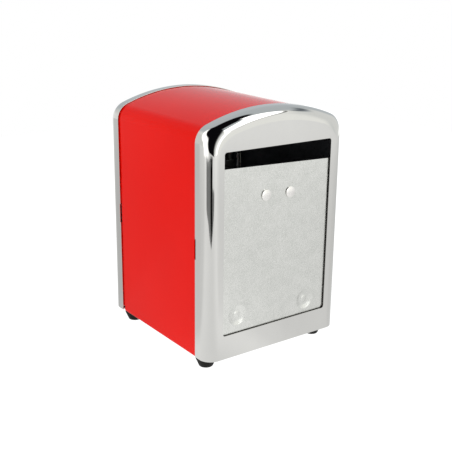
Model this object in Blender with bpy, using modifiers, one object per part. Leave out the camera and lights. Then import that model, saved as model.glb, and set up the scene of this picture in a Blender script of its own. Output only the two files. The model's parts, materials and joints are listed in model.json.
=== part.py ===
"""Two-sided tabletop napkin dispenser.

A bent steel shell with an arched top stands on a base plate and four rubber feet. A pressed
faceplate with a rectangular window closes each end and pulls off for refilling. Behind each
window a pressure plate slides in slots of the base plate, pushed outwards by a coil spring that
bears on a bracket in the middle.

Metres, +Z up. The front faces -Y. The origin is on the table, under the middle of the object.
Lengths named below are in millimetres and are converted where they are used.
"""

import math

import bmesh
import bpy
from mathutils import Matrix, Vector

MM = 0.001
GAP = 0.3
HOLE_PLAY = 0.4

# overall size
WIDTH = 97.0
DEPTH = 108.0
HEIGHT = 148.4

# arch of the faceplates and the shell, seen from the front
CROWN_RADIUS = 115.7
CORNER_RADIUS = 10.4
CROWN_STEPS = 10
CORNER_STEPS = 5

# pressed faceplates
FRAME_SHEET = 0.5
FRAME_BOTTOM = 7.6
EDGE_RADIUS = 7.8
EDGE_STEPS = 5
FACE_CORNER_RADIUS = 16.0
SKIRT_DEPTH = 12.2
WINDOW_WIDTH = 75.4
WINDOW_BOTTOM = 21.8
WINDOW_TOP = 127.3
WINDOW_CORNER = 1.6
TAB_BOTTOM = 66.6
TAB_TOP = 78.4
TAB_REACH = 2.4
TAB_SETBACK = 0.7

# shell, with a slot for each tab and a notch below each end of its walls
SHELL_SHEET = 0.6
SHELL_BOTTOM = 6.6
SHELL_LENGTH = 91.6
SHELL_HALF_WIDTH = WIDTH / 2 - FRAME_SHEET - 0.35
FLANGE_WIDTH = 10.0
FLANGE_BEND = 1.4
TAB_SLOT_PLAY = 0.6
FRONT_TAB_SLOT = (-43.3, -40.2)
REAR_TAB_SLOT = (41.5, 43.3)
NOTCH_LENGTH = 5.0
NOTCH_TOP = 10.2

# base plate
BASE_SHEET = 0.8
BASE_BOTTOM = SHELL_BOTTOM + SHELL_SHEET + GAP
BASE_TOP = BASE_BOTTOM + BASE_SHEET
BASE_WIDTH = 93.0
BASE_LENGTH = 92.0

# feet and their screws
FOOT_X = 40.3
FOOT_Y = 41.0
FOOT_TOP_RADIUS = 6.2
FOOT_BOTTOM_RADIUS = 3.8
FOOT_TOP = SHELL_BOTTOM - GAP
FOOT_RECESS_RADIUS = 2.6
FOOT_RECESS_DEPTH = 2.6
SCREW_RADIUS = 1.4
SCREW_HEAD_RADIUS = 2.25
SCREW_TOP = 12.4
NUT_RADIUS = 3.1
NUT_HEIGHT = 2.0

# pressure plates
PLATE_SHEET = 0.8
PLATE_WIDTH = 81.0
PLATE_BOTTOM = 15.0
PLATE_TOP = 116.7
PLATE_CORNER = 2.0
PLATE_BACKSET = 1.1
PLATE_TRAVEL = 34.0
FRONT_SKEW = math.radians(1.9)
FRONT_SHIFT = 0.2
DIMPLE_X = 25.0
DIMPLE_Z = 31.3
DIMPLE_RADIUS = 6.0
DIMPLE_FLOOR = 3.8
DIMPLE_DEPTH = 0.9

# guide shoes, their rivets and the studs that run in the slots
SHOE_SHEET = 1.0
SHOE_WIDTH = 11.0
SHOE_TOP = 38.0
SHOE_LENGTH = 14.0
SHOE_BEND = 1.6
SHOE_RIVET_RADIUS = 1.2
SHOE_RIVET_HEAD = 2.25
STUD_RADIUS = 1.6
STUD_HEAD = 3.4
STUD_Y = 42.0
SLOT_WIDTH = 4.2

# spring, its strap and the bracket in the middle
SPRING_Z = 99.6
SPRING_RADIUS = 4.6
SPRING_WIRE = 1.0
SPRING_TURNS = 8
SPRING_STEPS = 12
STRAP_SHEET = 0.8
STRAP_WIDTH = 30.0
STRAP_HEIGHT = 11.0
BOSS_RADIUS = 3.3
BOSS_LENGTH = 3.0
STRAP_RIVET_X = 8.7
STRAP_RIVET_HEAD = 3.15
RIVET_RADIUS = 1.4
ANCHOR_SHEET = 1.2
ANCHOR_WIDTH = 16.0
ANCHOR_TOP = 108.0
ANCHOR_FOOT = 14.0
ANCHOR_BEND = 2.0
ANCHOR_RIVET_X = 4.5
PEG_RADIUS = 3.0
PEG_LENGTH = 10.0

# depth of the layers behind the front faceplate, from its outer face at -DEPTH / 2
FACE_Y = -DEPTH / 2
PLATE_Y = FACE_Y + PLATE_BACKSET
PLATE_BACK_Y = PLATE_Y + PLATE_SHEET
STRAP_Y = PLATE_BACK_Y + GAP
STRAP_BACK_Y = STRAP_Y + STRAP_SHEET
SHOE_Y = PLATE_BACK_Y + DIMPLE_DEPTH + GAP
SHOE_BACK_Y = SHOE_Y + SHOE_SHEET
SHOE_BOTTOM = BASE_TOP + GAP

# where the moving groups' frames stand
FRAME_ORIGIN = Vector((0.0, FACE_Y, 0.0))
SLIDE_ORIGIN = Vector((0.0, PLATE_Y, SPRING_Z))
PARENT_ORIGINS = {
    "front_frame_slide": FRAME_ORIGIN,
    "rear_frame_slide": FRAME_ORIGIN,
    "front_follower_slide": SLIDE_ORIGIN,
    "rear_follower_slide": SLIDE_ORIGIN,
}


def clear_scene():
    for old in list(bpy.data.objects):
        bpy.data.objects.remove(old, do_unlink=True)


def make_collection(name):
    group = bpy.data.collections.new(name)
    bpy.context.scene.collection.children.link(group)
    return group


def make_material(name, colour, roughness, metallic):
    made = bpy.data.materials.new(name)
    made.use_nodes = True
    shader = made.node_tree.nodes["Principled BSDF"]
    shader.inputs["Base Color"].default_value = (*colour, 1.0)
    shader.inputs["Roughness"].default_value = roughness
    shader.inputs["Metallic"].default_value = metallic
    return made


clear_scene()
PARTS = make_collection("napkin_dispenser")
CUTTERS = make_collection("cutters")

RED = make_material("red_enamel", (0.78, 0.005, 0.002), 0.2, 0.0)
CHROME = make_material("chrome", (0.66, 0.66, 0.63), 0.05, 1.0)
GALVANISED = make_material("galvanised", (0.66, 0.67, 0.64), 0.2, 1.0)
STEEL = make_material("zinc_steel", (0.78, 0.77, 0.75), 0.25, 1.0)
DARK_STEEL = make_material("dark_steel", (0.10, 0.10, 0.10), 0.4, 1.0)
SPRING_STEEL = make_material("spring_steel", (0.16, 0.16, 0.16), 0.3, 1.0)
RUBBER = make_material("black_rubber", (0.016, 0.015, 0.012), 0.7, 0.0)


def scaled(points):
    return [Vector(point) * MM for point in points]


def make_empty(name, origin, turned):
    """A moving group's frame. The rear groups are the front ones turned half way round."""
    empty = bpy.data.objects.new(name, None)
    PARTS.objects.link(empty)
    turn = Matrix.Rotation(math.pi if turned else 0.0, 4, "Z")
    empty.matrix_world = turn @ Matrix.Translation(origin * MM)
    return empty


def add_object(name, data, material, origin=(0.0, 0.0, 0.0), parent=None):
    """Add a piece. Its origin is given in the front's frame, in millimetres."""
    piece = bpy.data.objects.new(name, data)
    PARTS.objects.link(piece)
    data.materials.append(material)
    place = Vector(origin)
    if parent is not None:
        piece.parent = parent
        place = place - PARENT_ORIGINS[parent.name]
    piece.location = place * MM
    return piece


def mesh_from(bm, name, smooth_angle=math.radians(35)):
    data = bpy.data.meshes.new(name)
    bm.to_mesh(data)
    bm.free()
    data.shade_smooth()
    data.set_sharp_from_angle(angle=smooth_angle)
    return data


def rounded_path(corners, radius, steps, closed=False):
    """A path through the given 2D corners, with an arc of the given radius at each of them."""
    count = len(corners)
    path = []
    for index, corner in enumerate(corners):
        here = Vector(corner)
        if not closed and index in (0, count - 1):
            path.append(here)
            continue
        back = (Vector(corners[index - 1]) - here).normalized()
        ahead = (Vector(corners[(index + 1) % count]) - here).normalized()
        half = back.angle(ahead) / 2
        centre = here + (back + ahead).normalized() * (radius / math.sin(half))
        start = here + back * (radius / math.tan(half)) - centre
        turn = start.angle_signed(here + ahead * (radius / math.tan(half)) - centre)
        for step in range(steps + 1):
            angle = -turn * step / steps
            spoke = Matrix.Rotation(angle, 2) @ start
            path.append(centre + spoke)
    return path


def arch_path(inset, bottom, corner=None):
    """The arch's outline in XZ, set in from the faceplates' outer size, from left to right.

    Its corners follow the outer ones, unless they have a radius of their own.
    """
    if corner is None:
        corner = CORNER_RADIUS - inset
    crown = CROWN_RADIUS - inset
    corner_x = WIDTH / 2 - inset - corner
    crown_z = HEIGHT - CROWN_RADIUS
    corner_z = crown_z + math.sqrt((crown - corner) ** 2 - corner_x**2)
    lean = math.atan2(corner_x, corner_z - crown_z)
    half = [(corner_x + corner, bottom)]
    for step in range(CORNER_STEPS + 1):
        angle = math.pi / 2 + (lean - math.pi / 2) * step / CORNER_STEPS
        half.append((corner_x + corner * math.sin(angle), corner_z + corner * math.cos(angle)))
    for step in range(1, CROWN_STEPS + 1):
        angle = lean * (1 - step / CROWN_STEPS)
        half.append((crown * math.sin(angle), crown_z + crown * math.cos(angle)))
    left = [(-x, z) for x, z in half[:-1]]
    return left + half[::-1]


def strip_through(bm, rings):
    """A strip of faces through rings of points that have the same number of points each."""
    verts = [bm.verts.new(point) for point in scaled(rings[0])]
    edges = [bm.edges.new(pair) for pair in zip(verts, verts[1:])]
    for ring in rings[1:]:
        grown = bmesh.ops.extrude_edge_only(bm, edges=edges)["geom"]
        edges = [item for item in grown if isinstance(item, bmesh.types.BMEdge) and item.is_boundary]
        new_verts = [item for item in grown if isinstance(item, bmesh.types.BMVert)]
        partner = {}
        for vert in new_verts:
            for edge in vert.link_edges:
                other = edge.other_vert(vert)
                if other in verts:
                    partner[other] = vert
        verts = [partner[vert] for vert in verts]
        edges = [edge for edge in edges if edge.verts[0] in verts and edge.verts[1] in verts]
        for vert, point in zip(verts, scaled(ring)):
            vert.co = point
    return verts, edges


def solidify(piece, thickness):
    """Give an open surface its sheet thickness, behind the side that its faces point to."""
    sheet = piece.modifiers.new("sheet", "SOLIDIFY")
    sheet.thickness = thickness * MM
    sheet.offset = -1.0
    sheet.use_even_offset = True


def bent_sheet(name, path, along, sheet, material, origin=(0.0, 0.0, 0.0), parent=None):
    """A strip bent along a path of 3D points, as wide as the vector along."""
    bm = bmesh.new()
    middle = Vector(along) / 2
    rings = [[Vector(point) + side * middle for point in path] for side in (-1, 1)]
    strip_through(bm, rings)
    bmesh.ops.recalc_face_normals(bm, faces=bm.faces)
    piece = add_object(name, mesh_from(bm, name), material, origin, parent)
    solidify(piece, sheet)
    return piece


def cone_between(bm, start, end, start_radius, end_radius, sides):
    """A closed cylinder or cone from one point to another."""
    first = Vector(start) * MM
    last = Vector(end) * MM
    axis = last - first
    turn = Vector((0, 0, 1)).rotation_difference(axis).to_matrix().to_4x4()
    bmesh.ops.create_cone(
        bm,
        cap_ends=True,
        segments=sides,
        radius1=start_radius * MM,
        radius2=end_radius * MM,
        depth=axis.length,
        matrix=Matrix.Translation((first + last) / 2) @ turn,
    )


def box_between(bm, low, high):
    """A box from its lowest to its highest corner."""
    first = Vector(low) * MM
    last = Vector(high) * MM
    scale = Matrix.Diagonal((*(last - first), 1.0))
    bmesh.ops.create_cube(bm, size=1.0, matrix=Matrix.Translation((first + last) / 2) @ scale)


def prism(bm, outline, along):
    """A closed prism: an outline of 3D points, extruded by a vector."""
    verts = [bm.verts.new(point) for point in scaled(outline)]
    face = bm.faces.new(verts)
    grown = bmesh.ops.extrude_face_region(bm, geom=[face])["geom"]
    moved = [item for item in grown if isinstance(item, bmesh.types.BMVert)]
    bmesh.ops.translate(bm, verts=moved, vec=Vector(along) * MM)
    bmesh.ops.recalc_face_normals(bm, faces=bm.faces)


def combine(piece, bm, operation):
    """Cut a shape from a piece, or join it on. The shape is given in the piece's own frame."""
    name = piece.name + "_" + operation.lower()
    data = bpy.data.meshes.new(name)
    bm.to_mesh(data)
    bm.free()
    tool = bpy.data.objects.new(name, data)
    CUTTERS.objects.link(tool)
    tool.hide_render = True
    tool.display_type = "WIRE"
    if piece.parent is not None:
        tool.parent = piece.parent
    tool.location = piece.location
    tool.rotation_euler = piece.rotation_euler
    change = piece.modifiers.new(operation.lower(), "BOOLEAN")
    change.operation = operation
    change.object = tool


def drill(piece, holes, sides=16):
    """Cut round holes. Each one is a start point, an end point and a radius."""
    bm = bmesh.new()
    for start, end, radius in holes:
        cone_between(bm, start, end, radius, radius, sides)
    combine(piece, bm, "DIFFERENCE")


def turned(name, profile, material, origin, parent=None, steps=16, forwards=False):
    """A turned piece. Its profile is (radius, height) pairs that run down its outer side.

    It stands on +Z, or points to -Y if forwards is set.
    """
    bm = bmesh.new()
    verts = [bm.verts.new((radius * MM, 0.0, height * MM)) for radius, height in profile]
    for pair in zip(verts, verts[1:]):
        bm.edges.new(pair)
    if profile[0][0] > 0:
        bm.edges.new((verts[-1], verts[0]))
    piece = add_object(name, mesh_from(bm, name), material, origin, parent)
    screw = piece.modifiers.new("turn", "SCREW")
    screw.steps = steps
    screw.render_steps = steps
    screw.use_merge_vertices = True
    screw.merge_threshold = 0.00001
    screw.use_smooth_shade = True
    if forwards:
        piece.rotation_euler = (math.pi / 2, 0.0, 0.0)
    return piece


def domed_rivet(head_radius, head_height, shank_radius, shank_length, tail_radius, tail_height):
    """A rivet's profile. Its domed head stands on height 0 and its shank runs down from there."""
    profile = []
    for step in range(4):
        angle = math.pi / 2 * step / 3
        profile.append((head_radius * math.sin(angle), head_height * (0.25 + 0.75 * math.cos(angle))))
    profile[0] = (0.0, head_height)
    profile.append((head_radius, 0.0))
    profile.append((shank_radius, 0.0))
    profile.append((shank_radius, -shank_length))
    profile.append((tail_radius, -shank_length))
    profile.append((tail_radius * 0.8, -shank_length - tail_height))
    profile.append((0.0, -shank_length - tail_height))
    return profile


def skewed(x, z, skew, shift):
    """Where a point of a pressure plate goes as the plate sits askew about its spring's axis."""
    up = z - SPRING_Z
    return (
        x * math.cos(skew) + up * math.sin(skew) + shift,
        SPRING_Z + up * math.cos(skew) - x * math.sin(skew),
    )


def build_shell():
    inset = FRAME_SHEET + GAP
    half = SHELL_HALF_WIDTH
    squeeze = half / (WIDTH / 2 - inset)
    arch = arch_path(inset, SHELL_BOTTOM + FLANGE_BEND + SHELL_SHEET)
    over = [(x * squeeze, z) for x, z in arch]
    flange = [(half - FLANGE_WIDTH, SHELL_BOTTOM), (half, SHELL_BOTTOM), over[-1]]
    right = rounded_path(flange, FLANGE_BEND, 3)
    left = [Vector((-point.x, point.y)) for point in right]
    path = [(point.x, 0.0, point.y) for point in left[:-1]]
    path += [(x, 0.0, z) for x, z in over]
    path += [(point.x, 0.0, point.y) for point in right[-2::-1]]
    shell = bent_sheet("casing_shell", path, (0, SHELL_LENGTH, 0), SHELL_SHEET, RED)
    cuts = bmesh.new()
    for side in (-1, 1):
        left, right = sorted((side * (half - SHELL_SHEET - 1), side * (half + 1)))
        for start, end in (FRONT_TAB_SLOT, REAR_TAB_SLOT):
            low = (left, start, TAB_BOTTOM - TAB_SLOT_PLAY)
            high = (right, end, TAB_TOP + TAB_SLOT_PLAY)
            box_between(cuts, low, high)
        for end in (-SHELL_LENGTH / 2, SHELL_LENGTH / 2):
            low = (left, end - NOTCH_LENGTH, SHELL_BOTTOM - 1)
            high = (right, end + NOTCH_LENGTH, NOTCH_TOP)
            box_between(cuts, low, high)
    combine(shell, cuts, "DIFFERENCE")
    drill(shell, foot_holes(SHELL_BOTTOM - 1, BASE_BOTTOM))
    return shell


def foot_places():
    for side, side_name in ((-1, "left"), (1, "right")):
        for end, end_name in ((-1, "front"), (1, "rear")):
            yield side * FOOT_X, end * FOOT_Y, end_name + "_" + side_name


def foot_holes(low, high):
    radius = SCREW_RADIUS + HOLE_PLAY
    return [((x, y, low), (x, y, high), radius) for x, y, _ in foot_places()]


def build_base():
    bm = bmesh.new()
    low = (-BASE_WIDTH / 2, -BASE_LENGTH / 2, BASE_BOTTOM)
    high = (BASE_WIDTH / 2, BASE_LENGTH / 2, BASE_TOP)
    box_between(bm, low, high)
    base = add_object("base_plate", mesh_from(bm, "base_plate"), DARK_STEEL)
    under = BASE_BOTTOM - 1
    above = BASE_TOP + 1
    holes = foot_holes(under, above)
    for side in (-1, 1):
        x = side * ANCHOR_RIVET_X
        y = ANCHOR_FOOT / 2
        holes.append(((x, y, under), (x, y, above), RIVET_RADIUS + HOLE_PLAY))
    drill(base, holes)
    slots = bmesh.new()
    for side in (-1, 1):
        for end in (-1, 1):
            centre = (side * DIMPLE_X, end * (STUD_Y - PLATE_TRAVEL / 2))
            half = (SLOT_WIDTH / 2, PLATE_TRAVEL / 2 + SLOT_WIDTH / 2)
            corners = [
                (centre[0] - half[0], centre[1] - half[1]),
                (centre[0] + half[0], centre[1] - half[1]),
                (centre[0] + half[0], centre[1] + half[1]),
                (centre[0] - half[0], centre[1] + half[1]),
            ]
            outline = rounded_path(corners, SLOT_WIDTH * 0.49, 4, closed=True)
            prism(slots, [(point.x, point.y, under) for point in outline], (0, 0, above - under))
    combine(base, slots, "DIFFERENCE")
    return base


def build_feet():
    profile = [
        (SCREW_RADIUS + HOLE_PLAY, FOOT_TOP),
        (FOOT_TOP_RADIUS, FOOT_TOP),
        (FOOT_TOP_RADIUS, FOOT_TOP - 0.9),
        (FOOT_BOTTOM_RADIUS + 0.45, 0.9),
        (FOOT_BOTTOM_RADIUS, 0.0),
        (FOOT_RECESS_RADIUS, 0.0),
        (FOOT_RECESS_RADIUS, FOOT_RECESS_DEPTH),
        (SCREW_RADIUS + HOLE_PLAY, FOOT_RECESS_DEPTH),
    ]
    head = FOOT_RECESS_DEPTH - GAP
    screw = [
        (0.0, SCREW_TOP),
        (SCREW_RADIUS, SCREW_TOP),
        (SCREW_RADIUS, head),
        (SCREW_HEAD_RADIUS, head),
        (SCREW_HEAD_RADIUS, head - 0.8),
        (SCREW_HEAD_RADIUS * 0.7, head - 1.3),
        (0.0, head - 1.4),
    ]
    for x, y, place in foot_places():
        turned("foot_" + place, profile, RUBBER, (x, y, 0), steps=24)
        turned("foot_screw_" + place, screw, STEEL, (x, y, 0), steps=12)
        bm = bmesh.new()
        low = BASE_TOP + GAP
        cone_between(bm, (0, 0, low), (0, 0, low + NUT_HEIGHT), NUT_RADIUS, NUT_RADIUS, 6)
        name = "foot_nut_" + place
        nut = add_object(name, mesh_from(bm, name), STEEL, (x, y, 0))
        drill(nut, [((0, 0, low - 1), (0, 0, low + NUT_HEIGHT + 1), SCREW_RADIUS + HOLE_PLAY)], 12)


def build_anchor():
    foot_z = BASE_TOP + GAP
    corners = [(ANCHOR_FOOT, foot_z), (-ANCHOR_SHEET / 2, foot_z), (-ANCHOR_SHEET / 2, ANCHOR_TOP)]
    path = rounded_path(corners, ANCHOR_BEND, 3)
    points = [(0.0, point.x, point.y) for point in path]
    anchor = bent_sheet("spring_anchor", points, (ANCHOR_WIDTH, 0, 0), ANCHOR_SHEET, DARK_STEEL)
    holes = [((0, -3, SPRING_Z), (0, 3, SPRING_Z), PEG_RADIUS + HOLE_PLAY)]
    for side in (-1, 1):
        x = side * ANCHOR_RIVET_X
        y = ANCHOR_FOOT / 2
        holes.append(((x, y, foot_z - 1), (x, y, foot_z + ANCHOR_SHEET + 1), RIVET_RADIUS + HOLE_PLAY))
    drill(anchor, holes)
    shank = ANCHOR_SHEET + BASE_SHEET + 3 * GAP
    rivet = domed_rivet(2.6, 1.1, RIVET_RADIUS, shank, 2.4, 0.9)
    for side, side_name in ((-1, "left"), (1, "right")):
        origin = (side * ANCHOR_RIVET_X, ANCHOR_FOOT / 2, foot_z + ANCHOR_SHEET + GAP)
        turned("anchor_rivet_" + side_name, rivet, STEEL, origin, steps=12)
    half = PEG_LENGTH / 2
    peg = [
        (0.0, half),
        (PEG_RADIUS - 0.5, half),
        (PEG_RADIUS, half - 0.5),
        (PEG_RADIUS, 0.5 - half),
        (PEG_RADIUS - 0.5, -half),
        (0.0, -half),
    ]
    turned("spring_peg", peg, STEEL, (0, 0, SPRING_Z), forwards=True)


def build_spring(name, end):
    """A coil from the middle bracket to a strap, in the casing's frame."""
    start = ANCHOR_SHEET / 2 + GAP + SPRING_WIRE / 2
    stop = -STRAP_BACK_Y - GAP - SPRING_WIRE / 2
    curve = bpy.data.curves.new(name, "CURVE")
    curve.dimensions = "3D"
    curve.bevel_depth = SPRING_WIRE / 2 * MM
    curve.bevel_resolution = 2
    curve.use_fill_caps = True
    curve.resolution_u = 1
    curve.render_resolution_u = 0
    count = SPRING_TURNS * SPRING_STEPS + 1
    line = curve.splines.new("POLY")
    line.points.add(count - 1)
    for index, point in enumerate(line.points):
        share = index / (count - 1)
        angle = 2 * math.pi * SPRING_TURNS * share
        y = end * (start + (stop - start) * share)
        x = SPRING_RADIUS * math.cos(angle)
        z = SPRING_Z + SPRING_RADIUS * math.sin(angle)
        point.co = (x * MM, y * MM, z * MM, 1.0)
    add_object(name, curve, SPRING_STEEL)


def build_faceplate(name, parent):
    """The pressed faceplate: its skirt, the rounded edge and the face with its window.

    The corners of the arch grow rounder from the skirt to the face.
    """
    rings = [[(x, SKIRT_DEPTH, z) for x, z in arch_path(0.0, FRAME_BOTTOM)]]
    for step in range(EDGE_STEPS + 1):
        angle = math.pi / 2 * step / EDGE_STEPS
        inset = EDGE_RADIUS * (1 - math.cos(angle))
        depth = EDGE_RADIUS * (1 - math.sin(angle))
        corner = CORNER_RADIUS + (FACE_CORNER_RADIUS - CORNER_RADIUS) * (1 - math.cos(angle))
        rings.append([(x, depth, z) for x, z in arch_path(inset, FRAME_BOTTOM, corner)])
    bm = bmesh.new()
    verts, edges = strip_through(bm, rings)
    edges.append(bm.edges.new((verts[-1], verts[0])))
    half = WINDOW_WIDTH / 2
    corners = [(-half, WINDOW_BOTTOM), (half, WINDOW_BOTTOM), (half, WINDOW_TOP), (-half, WINDOW_TOP)]
    window = rounded_path(corners, WINDOW_CORNER, 3, closed=True)
    loop = [bm.verts.new(point) for point in scaled([(point.x, 0.0, point.y) for point in window])]
    for first, second in zip(loop, loop[1:] + loop[:1]):
        edges.append(bm.edges.new((first, second)))
    bmesh.ops.triangle_fill(bm, edges=edges, use_beauty=True, use_dissolve=False)
    bmesh.ops.recalc_face_normals(bm, faces=bm.faces)
    front = min(bm.faces, key=lambda face: face.calc_center_median().y)
    if front.normal.y > 0:
        bmesh.ops.reverse_faces(bm, faces=bm.faces)
    faceplate = add_object(name, mesh_from(bm, name), CHROME, FRAME_ORIGIN, parent)
    solidify(faceplate, FRAME_SHEET)
    nicks = bmesh.new()
    for side in (-1, 1):
        near, far = sorted((side * (WIDTH / 2 - 1.5), side * (WIDTH / 2 + 1)))
        low = (near, SKIRT_DEPTH - TAB_SETBACK, TAB_BOTTOM)
        box_between(nicks, low, (far, SKIRT_DEPTH + 1, TAB_TOP))
    combine(faceplate, nicks, "DIFFERENCE")
    tabs = bmesh.new()
    end = SKIRT_DEPTH - TAB_SETBACK
    for side in (-1, 1):
        outer = side * (WIDTH / 2 - 0.1)
        inner = side * (WIDTH / 2 - TAB_REACH)
        low = (min(outer, inner), end - 0.5, TAB_BOTTOM)
        high = (max(outer, inner), end, TAB_TOP)
        box_between(tabs, low, high)
    combine(faceplate, tabs, "UNION")


def build_pressure_plate(end_name, parent, skew, shift):
    """The sheet that presses the napkins outwards, with its two pressed dimples."""
    half = PLATE_WIDTH / 2
    corners = [(-half, PLATE_BOTTOM), (half, PLATE_BOTTOM), (half, PLATE_TOP), (-half, PLATE_TOP)]
    outline = rounded_path(corners, PLATE_CORNER, 3, closed=True)
    tilted = [skewed(point.x, point.y, skew, shift) for point in outline]
    bm = bmesh.new()
    prism(bm, [(x, 0.0, z - SPRING_Z) for x, z in tilted], (0, PLATE_SHEET, 0))
    name = end_name + "_pressure_plate"
    plate = add_object(name, mesh_from(bm, name), GALVANISED, SLIDE_ORIGIN, parent)
    bumps = bmesh.new()
    hollows = bmesh.new()
    holes = []
    for x, z in dimple_places(skew, shift):
        up = z - SPRING_Z
        back = PLATE_SHEET + DIMPLE_DEPTH
        cone_between(bumps, (x, 0.4, up), (x, back, up), DIMPLE_RADIUS + 1.4, DIMPLE_FLOOR + 0.5, 24)
        cone_between(hollows, (x, -0.4, up), (x, DIMPLE_DEPTH, up), DIMPLE_RADIUS + 1.0, DIMPLE_FLOOR, 24)
        holes.append(((x, 0, up), (x, 3, up), SHOE_RIVET_RADIUS + HOLE_PLAY))
    for x, z in strap_rivet_places(skew, shift):
        up = z - SPRING_Z
        holes.append(((x, -1, up), (x, 2, up), RIVET_RADIUS + HOLE_PLAY))
    combine(plate, bumps, "UNION")
    combine(plate, hollows, "DIFFERENCE")
    drill(plate, holes, 12)


def dimple_places(skew, shift):
    return [skewed(side * DIMPLE_X, DIMPLE_Z, skew, shift) for side in (-1, 1)]


def strap_rivet_places(skew, shift):
    return [skewed(side * STRAP_RIVET_X, SPRING_Z, skew, shift) for side in (-1, 1)]


def build_strap(end_name, parent, skew, shift):
    """The strap that holds the spring on the back of the pressure plate."""
    half = STRAP_WIDTH / 2
    low = SPRING_Z - STRAP_HEIGHT / 2
    high = SPRING_Z + STRAP_HEIGHT / 2
    corners = [(-half, low), (half, low), (half, high), (-half, high)]
    outline = rounded_path(corners, 2.0, 3, closed=True)
    tilted = [skewed(point.x, point.y, skew, shift) for point in outline]
    bm = bmesh.new()
    base = STRAP_Y - PLATE_Y
    prism(bm, [(x, base, z - SPRING_Z) for x, z in tilted], (0, STRAP_SHEET, 0))
    name = end_name + "_spring_strap"
    strap = add_object(name, mesh_from(bm, name), DARK_STEEL, SLIDE_ORIGIN, parent)
    boss = bmesh.new()
    tip = base + STRAP_SHEET + BOSS_LENGTH
    cone_between(boss, (0, base + 0.4, 0), (0, tip, 0), BOSS_RADIUS, BOSS_RADIUS - 0.3, 16)
    combine(strap, boss, "UNION")
    holes = []
    for x, z in strap_rivet_places(skew, shift):
        up = z - SPRING_Z
        holes.append(((x, base - 1, up), (x, base + 2, up), RIVET_RADIUS + HOLE_PLAY))
    drill(strap, holes, 12)


def build_rivets(end_name, names, parent, skew, shift):
    """The two rivets of the strap and the two in the dimples."""
    shank = PLATE_SHEET + STRAP_SHEET + 3 * GAP
    head = domed_rivet(STRAP_RIVET_HEAD, 0.7, RIVET_RADIUS, shank, 2.4, 0.8)
    for (x, z), side_name in zip(strap_rivet_places(skew, shift), names):
        origin = (x, PLATE_Y - GAP, z)
        turned(end_name + "_strap_rivet_" + side_name, head, STEEL, origin, parent, 16, True)
    shank = PLATE_SHEET + SHOE_SHEET + 3 * GAP
    head = domed_rivet(SHOE_RIVET_HEAD, 0.9, SHOE_RIVET_RADIUS, shank, 2.2, 0.8)
    for (x, z), side_name in zip(dimple_places(skew, shift), names):
        origin = (x, PLATE_Y + DIMPLE_DEPTH - GAP, z)
        turned(end_name + "_shoe_rivet_" + side_name, head, GALVANISED, origin, parent, 12, True)


def build_shoes(end_name, names, parent, skew, shift):
    """The two L-shaped shoes, and the studs that hold them down in the base plate's slots."""
    rivets = dimple_places(skew, shift)
    for index, side in enumerate((-1, 1)):
        x = side * DIMPLE_X
        rivet_x, rivet_z = rivets[index]
        corners = [(SHOE_Y, SHOE_TOP), (SHOE_Y, SHOE_BOTTOM), (SHOE_Y + SHOE_LENGTH, SHOE_BOTTOM)]
        path = rounded_path(corners, SHOE_BEND, 3)
        points = [(0.0, point.x - PLATE_Y, point.y - SPRING_Z) for point in path]
        name = end_name + "_guide_shoe_" + names[index]
        origin = (x, PLATE_Y, SPRING_Z)
        shoe = bent_sheet(name, points, (SHOE_WIDTH, 0, 0), SHOE_SHEET, STEEL, origin, parent)
        across = rivet_x - x
        up = rivet_z - SPRING_Z
        depth = SHOE_Y - PLATE_Y
        stud = -STUD_Y - PLATE_Y
        low = SHOE_BOTTOM - SPRING_Z
        holes = [
            ((across, depth - 1, up), (across, depth + 2, up), SHOE_RIVET_RADIUS + HOLE_PLAY),
            ((0, stud, low - 1), (0, stud, low + 2), STUD_RADIUS + HOLE_PLAY),
        ]
        drill(shoe, holes, 12)
        head = SHOE_BOTTOM + SHOE_SHEET + GAP
        shank = head - (BASE_BOTTOM - GAP)
        profile = domed_rivet(2.7, 1.0, STUD_RADIUS, shank, STUD_HEAD, 1.0)
        name = end_name + "_guide_stud_" + names[index]
        turned(name, profile, STEEL, (x, -STUD_Y, head), parent, 12)


build_shell()
build_base()
build_feet()
build_anchor()
build_spring("front_spring", -1)
build_spring("rear_spring", 1)

ENDS = (
    ("front", False, ("left", "right"), FRONT_SKEW, FRONT_SHIFT),
    ("rear", True, ("right", "left"), 0.0, 0.0),
)
for end_name, is_rear, names, skew, shift in ENDS:
    frame = make_empty(end_name + "_frame_slide", FRAME_ORIGIN, is_rear)
    build_faceplate(end_name + "_faceplate", frame)
    follower = make_empty(end_name + "_follower_slide", SLIDE_ORIGIN, is_rear)
    build_pressure_plate(end_name, follower, skew, shift)
    build_strap(end_name, follower, skew, shift)
    build_rivets(end_name, names, follower, skew, shift)
    build_shoes(end_name, names, follower, skew, shift)
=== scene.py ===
"""Looks of the two-sided tabletop napkin dispenser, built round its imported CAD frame.

A bent steel casing, enamelled red outside and bare inside, stands on four rubber feet. A chromed
pressing with a window closes each end, and a galvanised pressure plate shows in each window.

The front faces -Y. Lengths are in millimetres, and become metres where a mesh or light is made.
"""

import json
import math

import bmesh
import bpy
from mathutils import Matrix, Vector


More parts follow.
